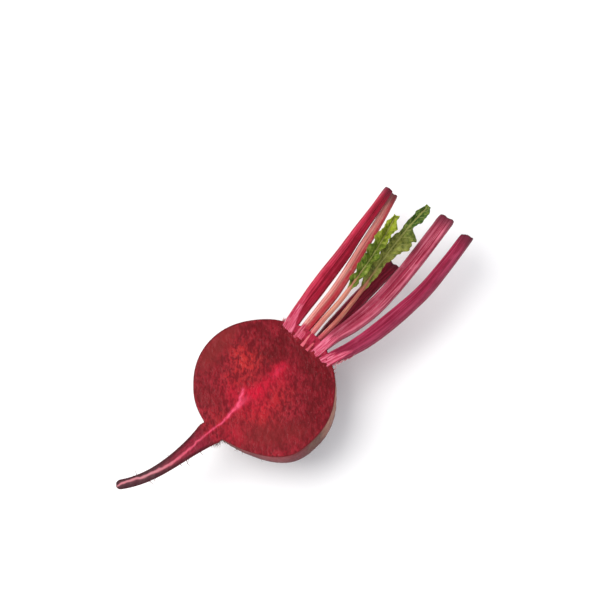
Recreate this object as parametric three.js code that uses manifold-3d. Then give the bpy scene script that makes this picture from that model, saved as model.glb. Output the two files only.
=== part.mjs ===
// Half a beetroot, cut lengthwise, lying on its rounded back with the cut face up.
// Millimetres. +X runs along the beet from root to crown, +Z is up, and the origin is on the
// flat spot that it rests on, straight under the middle of the bulb.
import * as THREE from 'three';
import Module from 'manifold-3d';
import { mergeVertices } from 'three/addons/utils/BufferGeometryUtils.js';

const wasm = await Module();
wasm.setup();

// Driving dimensions of the bulb
const cutHeight = 34;        // cut face above the surface that it rests on
const bulbDepth = 35.5;      // cut face to the lowest skin, before the flat spot is taken off
const bulbToCrown = 34.2;    // from the widest place of the cut face
const bulbToRoot = 33.6;
const bulbHalfWidth = 36.8;
const bulbCentreY = 1.3;
const bellyX = 9;            // the back is deepest here, nearer the crown
const sideBulge = 4.6;       // skin on the -Y side swells this far out below the cut edge
const farBulge = 1.8;        // and is drawn in this far on the +Y side
const cheekX = -17;          // the -Y side is fuller here by cheekShare
const cheekShare = 0.06;

// Driving dimensions of the crown, where the leaf stalks grow
const crownX = 29;
const crownEndX = 37.5;
const crownHalfWidth = 16.2;
const crownDepth = 14.5;
const scarHeight = 0.035;    // rings of old leaf scars on the crown's back, as a share of its size
const scarPitch = 3.4;

// Driving dimensions of the tap root
const neckX = -36;
const rootTipX = -85.4;
const rootHalfWidth = 3;     // at mid length
const rootTaper = 0.2;       // share of the width lost from neck to tip
const tipRound = 2;          // length of the rounded tip
const neckFlare = 3.6;       // added at the neck, fading over neckFade
const neckFade = 14;
const neckY = 3.9;
const rootLean = 6;          // the root leans this far to +Y from neck to tip
const rootSweepY = 9;        // and a bend, mostly toward the tip, takes it this much farther
const rootCurl = 4;          // a higher power bends it nearer the tip
const rootDroop = 3;         // the cut root has sagged this much at the tip

const fitGap = 0.45;         // clearance round a stalk in its socket
// x and y where each web between sockets that is left out starts, its width and its depth
const thinWebs = [[31, -2.7, 1.7, 0.8], [27.4, 3.8, 3.1, 1.2], [28, 9.6, 3.2, 2.3]];
const stalkRings = 15;
const stalkSides = 18;
const bladeThickness = 0.8;
const foldRound = 1.6;       // a blade's fold starts flat at the midrib and is full this far out

const clamp01 = (t) => Math.min(1, Math.max(0, t));
const smooth = (t) => clamp01(t) ** 2 * (3 - 2 * clamp01(t));
const roundedOr = (a, b) => (a ** 4 + b ** 4) ** 0.25;

// A closed solid through rings of points, with a fan of triangles over each end
function loft(rings) {
  const count = rings[0].length;
  const points = rings.flat();
  const faces = [];
  for (let i = 0; i + 1 < rings.length; i++) {
    for (let j = 0; j < count; j++) {
      const a = i * count + j;
      const b = i * count + (j + 1) % count;
      faces.push(a, b, b + count, a, b + count, a + count);
    }
  }
  const last = (rings.length - 1) * count;
  for (let j = 1; j + 1 < count; j++) {
    faces.push(0, j + 1, j);
    faces.push(last, last + j, last + j + 1);
  }
  return closedGeometry(points, faces);
}

// Points and faces as a geometry whose faces point out
function closedGeometry(points, faces) {
  let volume = 0;
  for (let i = 0; i < faces.length; i += 3) {
    const [a, b, c] = [points[faces[i]], points[faces[i + 1]], points[faces[i + 2]]];
    volume += a.dot(b.clone().cross(c));
  }
  const turned = volume < 0 ? faces.slice().reverse() : faces;
  const geometry = new THREE.BufferGeometry();
  geometry.setAttribute('position', new THREE.Float32BufferAttribute(points.flatMap((p) => p.toArray()), 3));
  geometry.setIndex(turned);
  return geometry;
}

function toSolid(geometry) {
  const bare = geometry.clone();
  bare.deleteAttribute('normal');
  bare.deleteAttribute('uv');
  const merged = mergeVertices(bare, 1e-4);
  const vertProperties = new Float32Array(merged.attributes.position.array);
  const triVerts = new Uint32Array(merged.index.array);
  return new wasm.Manifold(new wasm.Mesh({ numProp: 3, vertProperties, triVerts }));
}

function toGeometry(solid) {
  const mesh = solid.getMesh();
  const geometry = new THREE.BufferGeometry();
  geometry.setAttribute('position', new THREE.Float32BufferAttribute(mesh.vertProperties, 3));
  geometry.setIndex([...mesh.triVerts]);
  return geometry;
}

// The bulb and root are one loft along their own middle line, of rings with a flat top.

// Share of the full half width or depth that the bulb has at x, with its widest place at peak
function bulbShare(x, peak) {
  const reach = x > peak ? bulbToCrown - peak : bulbToRoot + peak;
  return Math.sqrt(Math.max(0, 1 - ((x - peak) / reach) ** 2));
}

function crownShare(x) {
  const along = Math.max(0, x - crownX) / (crownEndX - crownX);
  const fade = smooth((x - 8) / (crownX - 8));
  return fade * Math.sqrt(Math.max(0, 1 - along * along));
}

function rootShare(x) {
  const outward = Math.max(0, neckX - x);
  const taper = 1 - rootTaper * outward / (neckX - rootTipX);
  const inside = 1 - smooth((x - neckX) / 30);
  const fromTip = clamp01((x - rootTipX + 0.15) / tipRound);
  const round = Math.sqrt(1 - (1 - fromTip) ** 2);
  return (rootHalfWidth + neckFlare * Math.exp(-outward / neckFade)) * taper * inside * round;
}

// Share of the root's length that lies outward of x
const outwardShare = (x) => clamp01((neckX - x) / (neckX - rootTipX));

function middleLine(x) {
  const outward = outwardShare(x);
  const towardRoot = smooth((-22 - x) / 16);
  const bend = rootLean * outward + rootSweepY * outward ** rootCurl;
  const y = bulbCentreY + (neckY - bulbCentreY) * towardRoot + bend;
  return new THREE.Vector3(x, y, cutHeight - rootDroop * outward ** 2);
}

function beetRing(x, sides) {
  const centre = middleLine(x);
  const outward = outwardShare(x);
  const lean = rootLean * smooth(outward / 0.2) + rootCurl * rootSweepY * outward ** (rootCurl - 1);
  const across = new THREE.Vector3(lean / (neckX - rootTipX), 1, 0).normalize();
  const halfWidth = roundedOr(
    roundedOr(bulbHalfWidth * bulbShare(x, 0), crownHalfWidth * crownShare(x)), rootShare(x));
  const depth = roundedOr(
    roundedOr(bulbDepth * bulbShare(x, bellyX), crownDepth * crownShare(x)), 0.95 * rootShare(x));
  const swell = bulbShare(x, 0);
  const scars = scarHeight * crownShare(x) * Math.cos(2 * Math.PI * (x - crownX) / scarPitch);
  const cheek = 1 + cheekShare * Math.exp(-(((x - cheekX) / 9) ** 2));
  const ring = [];
  for (let i = 0; i <= sides; i++) {
    const turn = Math.PI * i / sides;
    const low = Math.sin(turn);
    const near = turn > Math.PI / 2;
    const bulge = (near ? sideBulge : farBulge) * swell * Math.sin(Math.PI * low);
    const lobes = 1 + 0.012 * low * swell * Math.sin(5 * turn + 0.09 * x) + low * scars;
    const sideways = halfWidth * Math.cos(turn) * lobes * (near ? cheek : 1) - bulge;
    ring.push(centre.clone().addScaledVector(across, sideways).add(new THREE.Vector3(0, 0, -depth * low * lobes)));
  }
  return ring;
}

function beetBody() {
  const rings = [];
  const rootRings = 13;
  const bulbRings = 42;
  const ringSides = 34;
  for (const share of [0, 0.07, 0.2, 0.45]) {
    rings.push(beetRing(rootTipX + tipRound * share, ringSides));
  }
  for (let i = 0; i < rootRings; i++) {
    const share = (i / rootRings) ** 0.95;
    rings.push(beetRing(rootTipX + tipRound + (neckX - rootTipX - tipRound) * share, ringSides));
  }
  for (let i = 0; i <= bulbRings; i++) {
    const share = (1 - Math.cos(Math.PI * i / bulbRings)) / 2;
    rings.push(beetRing(neckX + (crownEndX - 0.4 - neckX) * share, ringSides));
  }
  return toSolid(loft(rings));
}

// A box with its lowest corner and size given, for plane cuts
function block(lowest, size) {
  const geometry = new THREE.BoxGeometry(...size);
  geometry.translate(lowest[0] + size[0] / 2, lowest[1] + size[1] / 2, lowest[2] + size[2] / 2);
  return toSolid(geometry);
}

// Leaf stalks, each a swept crescent with a channel along the side that faced the heart.
// path: x, y and height of the middle line. width and depth: half sizes at base, middle and tip.
// channel: where the channel faces, in degrees from straight up towards +Y.
const stalks = [
  {
    name: 'stalk_far', colour: '#b0274f', channel: -38, width: [3.4, 4.2, 2.5], depth: [3.1, 3.5, 2.6],
    path: [[27.5, 13.3, 33.4], [36, 15.4, 32.6], [47, 17.6, 31.1], [65.6, 20.7, 29.9], [80.3, 22.9, 29.6],
      [94, 25.4, 30.0], [110, 27.9, 30.8], [124, 30.3, 31.2]],
  },
  {
    name: 'stalk_far_inner', colour: '#c9606c', channel: -20, width: [2.5, 2.9, 2.3], depth: [2.6, 2.6, 2.2],
    path: [[28, 6.95, 33.2], [36, 7.95, 32.3], [48, 9.6, 30.2], [62.7, 11.8, 28.3], [77, 15.0, 27.4],
      [92.4, 19.0, 27.0], [108.7, 22.9, 26.6], [125.5, 28.0, 25.4]],
  },
  {
    name: 'stalk_near', colour: '#b23a5c', channel: 6, width: [2.45, 4.45, 4.4], depth: [2.7, 3.4, 3.2],
    path: [[28, -4.9, 33.4], [36, -5.3, 32.8], [45, -5.8, 31.8], [57, -7.7, 30.5], [72, -8.8, 29.9],
      [90, -8.0, 30.0], [111, -5.8, 30.6], [133, -2.9, 31.6]],
  },
  {
    name: 'stalk_near_outer', colour: '#a8305a', channel: 24, width: [3.2, 4.4, 3.4], depth: [3.0, 3.4, 3.0],
    path: [[27.5, -10.8, 33.4], [36, -13.2, 32.4], [45, -15.8, 31.1], [57, -18.2, 29.7], [75, -20.0, 28.6],
      [95, -21.0, 28.6], [113, -19.7, 29.4], [133.5, -17.2, 30.6]],
  },
  {
    name: 'stalk_back', colour: '#7b1733', channel: 0, width: [3.6, 4.2, 3.8], depth: [2.9, 3.3, 3.0],
    path: [[27, -1.2, 24.6], [38, -0.6, 22.8], [52, 0.8, 20.8], [70, 2.2, 18.8], [86, 2.8, 17.6],
      [100, 2.4, 17.0]],
  },
];

const curveThrough = (path) => new THREE.CatmullRomCurve3(path.map((p) => new THREE.Vector3(...p)));

// Outline of a stalk at one angle, as a share of its half sizes
function stalkOutline(angle) {
  const fromChannel = Math.abs(Math.atan2(Math.sin(angle), Math.cos(angle)));
  const channel = 0.34 * Math.exp(-((fromChannel / 0.5) ** 2));
  const shoulders = 0.07 * Math.exp(-(((fromChannel - 0.95) / 0.3) ** 2));
  const ribs = 0.035 * Math.cos(6 * angle) * smooth(fromChannel - 1.2);
  return 1 - channel + shoulders + ribs;
}

// A stalk swells from its base to the full size a third of the way along, then thins to its tip
function halfSize([base, middle, tip], t) {
  return t < 0.35
    ? THREE.MathUtils.lerp(base, middle, smooth(t / 0.35))
    : THREE.MathUtils.lerp(middle, tip, smooth((t - 0.35) / 0.65));
}

function stalkRing(curve, t, halfWidth, halfDepth, channel, back = 0) {
  const centre = curve.getPointAt(t);
  const along = curve.getTangentAt(t);
  const side = new THREE.Vector3(-along.y, along.x, 0).normalize();
  const up = new THREE.Vector3().crossVectors(along, side);
  const facing = up.clone().multiplyScalar(Math.cos(channel)).addScaledVector(side, Math.sin(channel));
  const beside = side.clone().multiplyScalar(Math.cos(channel)).addScaledVector(up, -Math.sin(channel));
  centre.addScaledVector(along, -back);
  const ring = [];
  for (let j = 0; j < stalkSides; j++) {
    const angle = 2 * Math.PI * j / stalkSides;
    const share = stalkOutline(angle);
    ring.push(centre.clone()
      .addScaledVector(facing, halfDepth * share * Math.cos(angle))
      .addScaledVector(beside, halfWidth * share * Math.sin(angle)));
  }
  return ring;
}

function stalkSolid(stalk, grow = 0) {
  const curve = curveThrough(stalk.path);
  const channel = THREE.MathUtils.degToRad(stalk.channel);
  const rings = [];
  for (let i = 0; i <= stalkRings; i++) {
    const t = i / stalkRings;
    const halfWidth = halfSize(stalk.width, t) + grow;
    const halfDepth = halfSize(stalk.depth, t) + grow;
    rings.push(stalkRing(curve, t, halfWidth, halfDepth, channel, i === 0 ? grow : 0));
  }
  return toSolid(loft(rings));
}

// Young leaves of the heart: a round stalk that runs on as the midrib of a folded, waved blade.
// left and right: half widths of the blade from its foot to its tip. fold: how far each side
// turns up from flat, in degrees. waves: full waves along an edge.
const youngLeaves = [
  {
    name: 'young_leaf_far', colour: '#86a22f', stalkRadius: [1.45, 0.7], bladeFrom: 0.44, waves: 5.5, wave: 0.9,
    path: [[28.5, 2.5, 33.1], [36, 3.6, 32.6], [46, 4.6, 32.7], [60, 5.2, 34.0], [72, 6.8, 35.4],
      [88, 9.4, 36.8], [102, 12.6, 38.0], [112.6, 15.6, 39.1]],
    left: [0.8, 3.4, 4.6, 5.2, 5.4, 5.0, 3.6, 1.6], right: [0.8, 2.6, 3.6, 4.2, 4.6, 5.0, 5.0, 2.8],
    fold: [58, 50],
  },
  {
    name: 'young_leaf_near', colour: '#8f9d4c', stalkRadius: [1.35, 0.6], bladeFrom: 0.42, waves: 6.5, wave: 1.1,
    path: [[28.5, -0.8, 33.1], [38, -0.9, 32.4], [50, -0.8, 32.2], [62, 0.2, 32.8], [74, 1.8, 33.2],
      [88, 4.4, 33.4], [103, 6.4, 34.2], [116, 7.3, 35.6], [129, 7.4, 37.4]],
    left: [0.7, 1.6, 2.3, 2.4, 2.6, 3.2, 3.8, 3.6, 2.4, 2.2, 3.2, 2.4, 1.2],
    right: [0.7, 1.6, 2.4, 2.7, 2.8, 3.4, 6.0, 8.4, 7.0, 2.2, 3.4, 3.8, 1.4],
    fold: [42, 18],
  },
];

// A value between the entries of a list, at t from 0 to 1
function along(list, t) {
  const place = clamp01(t) * (list.length - 1);
  const step = Math.min(list.length - 2, Math.floor(place));
  return THREE.MathUtils.lerp(list[step], list[step + 1], smooth(place - step));
}

function leafStalk(leaf, grow = 0) {
  const curve = curveThrough(leaf.path);
  const rings = [];
  const ringCount = 20;
  const sides = 8;
  for (let i = 0; i <= ringCount; i++) {
    const t = 0.985 * i / ringCount;
    const radius = THREE.MathUtils.lerp(leaf.stalkRadius[0], leaf.stalkRadius[1], t) + grow;
    const centre = curve.getPointAt(t);
    const forward = curve.getTangentAt(t);
    const side = new THREE.Vector3(-forward.y, forward.x, 0).normalize();
    const up = new THREE.Vector3().crossVectors(forward, side);
    centre.addScaledVector(forward, i === 0 ? -grow : 0);
    const ring = [];
    for (let j = 0; j < sides; j++) {
      const angle = 2 * Math.PI * j / sides;
      ring.push(centre.clone()
        .addScaledVector(side, radius * Math.sin(angle))
        .addScaledVector(up, radius * Math.cos(angle)));
    }
    rings.push(ring);
  }
  return toSolid(loft(rings));
}

// One point of the blade's middle sheet: t runs from foot to tip, v from -1 at one edge to 1
function bladePoint(leaf, curve, t, v) {
  const at = leaf.bladeFrom + (1 - leaf.bladeFrom) * t;
  const centre = curve.getPointAt(at);
  const forward = curve.getTangentAt(at);
  const side = new THREE.Vector3(-forward.y, forward.x, 0).normalize();
  const up = new THREE.Vector3().crossVectors(forward, side);
  const half = v > 0 ? along(leaf.left, t) : along(leaf.right, t);
  const out = Math.abs(v) * half;
  const fold = THREE.MathUtils.degToRad(v > 0 ? leaf.fold[0] : leaf.fold[1]) * smooth(out / foldRound);
  const phase = 2 * Math.PI * leaf.waves * t + (v > 0 ? 0 : 1.3);
  const ripple = leaf.wave * v * v * Math.sin(phase) * smooth(t * 6) * smooth((1 - t) * 8 + 0.2);
  return centre
    .addScaledVector(side, Math.sign(v) * (out * Math.cos(fold) - ripple * Math.sin(fold)))
    .addScaledVector(up, out * Math.sin(fold) + ripple * Math.cos(fold));
}

function bladeSolid(leaf) {
  const curve = curveThrough(leaf.path);
  const rows = 36;
  const columns = 6;
  const points = [];
  const faces = [];
  const step = 1e-3;
  for (const face of [1, -1]) {
    for (let i = 0; i <= rows; i++) {
      for (let j = 0; j <= columns; j++) {
        const t = i / rows;
        const v = 2 * j / columns - 1;
        const p = bladePoint(leaf, curve, t, v);
        const alongLeaf = bladePoint(leaf, curve, Math.min(1, t + step), v)
          .sub(bladePoint(leaf, curve, Math.max(0, t - step), v));
        const acrossLeaf = bladePoint(leaf, curve, t, Math.min(1, v + 0.12))
          .sub(bladePoint(leaf, curve, t, Math.max(-1, v - 0.12)));
        const normal = alongLeaf.cross(acrossLeaf).normalize();
        points.push(p.addScaledVector(normal, face * bladeThickness / 2));
      }
    }
  }
  const other = (rows + 1) * (columns + 1);
  const index = (i, j) => i * (columns + 1) + j;
  for (let i = 0; i < rows; i++) {
    for (let j = 0; j < columns; j++) {
      const [a, b, c, d] = [index(i, j), index(i + 1, j), index(i + 1, j + 1), index(i, j + 1)];
      faces.push(a, b, c, a, c, d);
      faces.push(a + other, c + other, b + other, a + other, d + other, c + other);
    }
  }
  const rim = [];
  for (let i = 0; i < rows; i++) rim.push(index(i, 0));
  for (let j = 0; j < columns; j++) rim.push(index(rows, j));
  for (let i = rows; i > 0; i--) rim.push(index(i, columns));
  for (let j = columns; j > 0; j--) rim.push(index(0, j));
  rim.forEach((a, k) => {
    const b = rim[(k + 1) % rim.length];
    faces.push(b, a, a + other, b, a + other, b + other);
  });
  return toSolid(closedGeometry(points, faces));
}

const beetroot = new THREE.Group();

function addPiece(name, solid, colour, roughness) {
  const material = new THREE.MeshStandardMaterial({ color: colour, roughness, metalness: 0 });
  const mesh = new THREE.Mesh(toGeometry(solid), material);
  mesh.name = name;
  beetroot.add(mesh);
}

// The knife's plane trims the foot of every stalk that it met
const aboveCut = block([0, -60, cutHeight], [60, 120, 20]);
const aboveCrown = block([0, -60, cutHeight], [40, 120, 20]);
const belowRest = block([-60, -60, -20], [120, 120, 20]);

let body = beetBody().subtract(belowRest);
for (const stalk of stalks) {
  body = body.subtract(stalkSolid(stalk, fitGap));
}
for (const leaf of youngLeaves) {
  body = body.subtract(leafStalk(leaf, fitGap));
}
// The flesh between the feet of the young leaves and their neighbours is too thin to stand
for (const [x, y, width, depth] of thinWebs) {
  body = body.subtract(block([x, y, cutHeight - depth], [12, width, depth + 1]));
}
addPiece('root_half', body, '#8a1f33', 0.55);

for (const stalk of stalks) {
  addPiece(stalk.name, stalkSolid(stalk).subtract(aboveCut), stalk.colour, 0.45);
}
for (const leaf of youngLeaves) {
  addPiece(leaf.name, leafStalk(leaf).subtract(aboveCrown).add(bladeSolid(leaf)), leaf.colour, 0.5);
}

export default beetroot;
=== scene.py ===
import math
import random

import bpy
import numpy as np
from mathutils import Matrix, Vector, noise


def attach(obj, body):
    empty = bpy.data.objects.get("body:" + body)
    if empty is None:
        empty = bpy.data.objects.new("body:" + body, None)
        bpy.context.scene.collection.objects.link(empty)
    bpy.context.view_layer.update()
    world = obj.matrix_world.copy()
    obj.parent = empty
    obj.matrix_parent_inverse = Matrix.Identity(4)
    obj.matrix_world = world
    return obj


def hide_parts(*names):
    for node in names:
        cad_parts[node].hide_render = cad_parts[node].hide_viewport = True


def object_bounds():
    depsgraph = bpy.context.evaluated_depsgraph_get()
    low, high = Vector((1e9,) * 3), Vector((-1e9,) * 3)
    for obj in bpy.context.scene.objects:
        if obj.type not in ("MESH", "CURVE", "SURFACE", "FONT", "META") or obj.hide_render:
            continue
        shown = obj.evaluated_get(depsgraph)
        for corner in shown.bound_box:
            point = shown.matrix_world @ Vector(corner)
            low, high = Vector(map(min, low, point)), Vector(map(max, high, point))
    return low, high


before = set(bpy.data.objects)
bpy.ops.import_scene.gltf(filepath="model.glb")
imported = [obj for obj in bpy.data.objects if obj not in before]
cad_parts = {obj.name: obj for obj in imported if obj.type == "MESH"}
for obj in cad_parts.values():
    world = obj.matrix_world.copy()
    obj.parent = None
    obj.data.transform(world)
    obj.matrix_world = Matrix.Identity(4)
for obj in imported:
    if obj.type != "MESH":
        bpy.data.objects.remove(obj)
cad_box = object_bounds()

# Half a beetroot, cut lengthwise, lying on its rounded back with the cut face up.
# All shapes are worked out in millimetres in the part's own frame and put in metres by
# mesh_piece: +X from root to crown, +Z up, origin on the flat spot under the bulb.
MM = 0.001

# Driving dimensions of the bulb, as on the part
CUT_HEIGHT = 34.0
BULB_DEPTH = 35.5
BULB_TO_CROWN = 34.2
BULB_TO_ROOT = 33.6
BULB_HALF_WIDTH = 36.8
BULB_CENTRE_Y = 1.3
BELLY_X = 9.0
SIDE_BULGE = 4.6
FAR_BULGE = 1.8
CHEEK_X = -17.0
CHEEK_SHARE = 0.06

# Driving dimensions of the crown
CROWN_X = 29.0
CROWN_END_X = 37.5
CROWN_HALF_WIDTH = 16.2
CROWN_DEPTH = 14.5
SCAR_HEIGHT = 0.016  # softer than the part's, since the corky tone shows the rings as well
SCAR_PITCH = 3.4

# Driving dimensions of the tap root
NECK_X = -36.0
ROOT_TIP_X = -85.4
ROOT_HALF_WIDTH = 3.0
ROOT_TAPER = 0.2
TIP_ROUND = 2.0
NECK_FLARE = 3.6
NECK_FADE = 14.0
NECK_Y = 3.9
ROOT_LEAN = 6.0
ROOT_SWEEP_Y = 9.0
ROOT_CURL = 4.0
ROOT_DROOP = 3.0
ROOT_DEPTH = 0.95  # the root's depth below the cut, as a share of its half width

# Driving dimensions of the stalks and leaves
FULL_AT = 0.35  # a stalk reaches its full size this far along
MEAN_RADIUS = 3.5  # of a stalk, to lay its fibres out in millimetres
FOOT_LINE_X = 28.2  # where the feet leave the flesh
FOOT_END_X = 60.0  # the knife's plane trims stalks up to here, and leaves up to the next
LEAF_FOOT_END_X = 40.0
BLADE_THICKNESS = 0.6
FOLD_ROUND = 1.6  # a blade's fold starts flat at the midrib and is full this far out

# Small measures of the finer pieces
SLICE_PROUD = 0.12  # the cut feet of the stalks stand this far out of the cut face
EDGE_DROP = 0.28  # the cut face rounds down by this much at its edge
BOX_MARGIN = 0.02
HAIR_SIDES = 6
HAIR_STEPS = 14
FRINGE_STEPS = 12


def smooth(t):
    t = np.clip(t, 0.0, 1.0)
    return t * t * (3 - 2 * t)


def rounded_or(*parts):
    """About the largest of the parts, with a round join where two are alike."""
    return sum(part ** 4 for part in parts) ** 0.25


def mix(a, b, t):
    return a + (b - a) * t


def stacked(*parts):
    """Vectors from their parts, along a new last axis."""
    return np.stack(np.broadcast_arrays(*parts), axis=-1)


def bump_at(value, centre, width):
    """1 where value is at centre, fading to 0 over width."""
    return np.exp(-(((value - centre) / width) ** 2))


def lumps(points, size, seed=0.0):
    """Smooth noise from -1 to 1 at each point; size is the lumps' size in millimetres."""
    shift = Vector((seed * 7.31, seed * 3.17, seed * 5.53))
    points = np.asarray(points, float)
    values = [noise.noise(Vector(point) / size + shift) for point in points.reshape(-1, 3)]
    return np.array(values).reshape(points.shape[:-1])


def srgb(*rgb):
    """A colour given as sRGB bytes, in the linear values that Blender's shaders take."""
    linear = [((byte / 255 + 0.055) / 1.055) ** 2.4 if byte > 10 else byte / 255 / 12.92 for byte in rgb]
    return (*linear, 1.0)


def inside_part(points):
    """Millimetre points held a hair inside the part's own box; the flat spot stays at the surface."""
    low, high = np.array(cad_box) / MM
    return np.clip(points, low + (BOX_MARGIN, BOX_MARGIN, 0.0), high - BOX_MARGIN)


def add_object(name, data):
    made = bpy.data.objects.new(name, data)
    bpy.context.scene.collection.objects.link(made)
    return made


def mesh_piece(name, points, faces, materials, attributes=None, face_slots=None, sharp=60):
    """A mesh object from points in millimetres, with smooth faces and float or vector attributes."""
    mesh = bpy.data.meshes.new(name)
    mesh.from_pydata((inside_part(np.asarray(points, float)) * MM).tolist(), [], faces)
    for key, values in (attributes or {}).items():
        values = np.asarray(values, np.float32)
        kind, field = ("FLOAT", "value") if values.ndim == 1 else ("FLOAT_VECTOR", "vector")
        mesh.attributes.new(key, kind, "POINT").data.foreach_set(field, values.ravel())
    for material in materials:
        mesh.materials.append(material)
    if face_slots is not None:
        mesh.polygons.foreach_set("material_index", np.asarray(face_slots, np.int32))
    mesh.polygons.foreach_set("use_smooth", [True] * len(mesh.polygons))
    mesh.set_sharp_from_angle(angle=math.radians(sharp))
    mesh.validate()
    return add_object(name, mesh)


def wear(piece, slot, *nodes):
    """The piece rides on the part and stands for the CAD nodes, which are hidden; the slot is not used."""
    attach(piece, "root")
    if nodes:
        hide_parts(*nodes)
    return piece


def tube_faces(rows, columns, start=0):
    """Quads between rings of points, each ring closed on itself."""
    faces = []
    for i in range(rows - 1):
        for j in range(columns):
            a = start + i * columns + j
            b = start + i * columns + (j + 1) % columns
            faces.append((a, b, b + columns, a + columns))
    return faces


def closed_tube_faces(rows, columns, start):
    """The quads of a tube and one flat face at each end."""
    first = range(start, start + columns)
    last = range(start + (rows - 1) * columns, start + rows * columns)
    return tube_faces(rows, columns, start) + [tuple(reversed(first)), tuple(last)]


def fan_faces(start, columns, centre, flip=False):
    """Triangles from a ring of points to its centre; flip turns them to face back along the tube."""
    faces = []
    for j in range(columns):
        a, b = start + j, start + (j + 1) % columns
        faces.append((b, a, centre) if flip else (a, b, centre))
    return faces


# Shader building

class Shader:
    """A node material with short calls for the nodes that the finishes share."""

    def __init__(self, name, **principled):
        self.material = bpy.data.materials.new(name)
        self.material.use_nodes = True
        self.tree = self.material.node_tree
        self.surface = self.tree.nodes["Principled BSDF"]
        self.colour = None
        for key, value in principled.items():
            self.surface.inputs[key.replace("_", " ")].default_value = value

    def node(self, kind, inputs=None, **settings):
        made = self.tree.nodes.new("ShaderNode" + kind)
        for key, value in settings.items():
            setattr(made, key, value)
        for key, value in (inputs or {}).items():
            if isinstance(value, bpy.types.NodeSocket):
                self.tree.links.new(value, made.inputs[key])
            else:
                made.inputs[key].default_value = value
        return made

    def read(self, attribute, output="Fac"):
        return self.node("Attribute", attribute_name=attribute).outputs[output]

    def position(self):
        """Object coordinates in millimetres."""
        place = self.node("TexCoord").outputs["Object"]
        return self.node("VectorMath", {0: place, 3: 1 / MM}, operation="SCALE").outputs[0]

    def turned(self, vector, degrees):
        """The vector turned about Z."""
        turn = (0.0, 0.0, math.radians(degrees))
        return self.node("Mapping", {"Vector": vector, "Rotation": turn}).outputs[0]

    def stretch(self, vector, scale):
        return self.node("Mapping", {"Vector": vector, "Scale": scale}).outputs[0]

    def noise(self, vector, scale, detail=4.0, roughness=0.55, distortion=0.0):
        inputs = {"Vector": vector, "Scale": scale, "Detail": detail, "Roughness": roughness,
                  "Distortion": distortion}
        return self.node("TexNoise", inputs).outputs["Fac"]

    def cells(self, vector, scale):
        return self.node("TexVoronoi", {"Vector": vector, "Scale": scale}).outputs["Distance"]

    def ramp(self, value, low, high, out_low=0.0, out_high=1.0):
        """value from low to high, smoothly turned into out_low to out_high."""
        inputs = {"Value": value, "From Min": low, "From Max": high, "To Min": out_low, "To Max": out_high}
        return self.node("MapRange", inputs, interpolation_type="SMOOTHSTEP").outputs[0]

    def maths(self, operation, a, b=0.0):
        return self.node("Math", {0: a, 1: b}, operation=operation).outputs[0]

    def times(self, a, b):
        return self.maths("MULTIPLY", a, b)

    def plus(self, a, b):
        return self.maths("ADD", a, b)

    def swing(self, value, amount):
        """A value around 0.5 turned into one around 0, times amount."""
        return self.times(self.maths("SUBTRACT", value, 0.5), amount)

    def blend(self, amount, under, over):
        return self.node("Mix", {0: amount, 6: under, 7: over}, data_type="RGBA").outputs[2]

    def over(self, amount, tone, share=None):
        """Lays a tone over the colour so far, by an amount from 0 to 1 and only a share of it."""
        if share is not None:
            amount = self.times(amount, share)
        self.colour = self.blend(amount, self.colour, tone)

    def bumps(self, height, strength, distance_mm, under=None):
        inputs = {"Height": height, "Strength": strength, "Distance": distance_mm * MM}
        if under is not None:
            inputs["Normal"] = under
        return self.node("Bump", inputs).outputs[0]

    def finish(self, **sockets):
        """Joins the colour and the given sockets to the surface."""
        for key, value in {"Base_Color": self.colour, **sockets}.items():
            self.tree.links.new(value, self.surface.inputs[key.replace("_", " ")])
        return self.material


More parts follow.
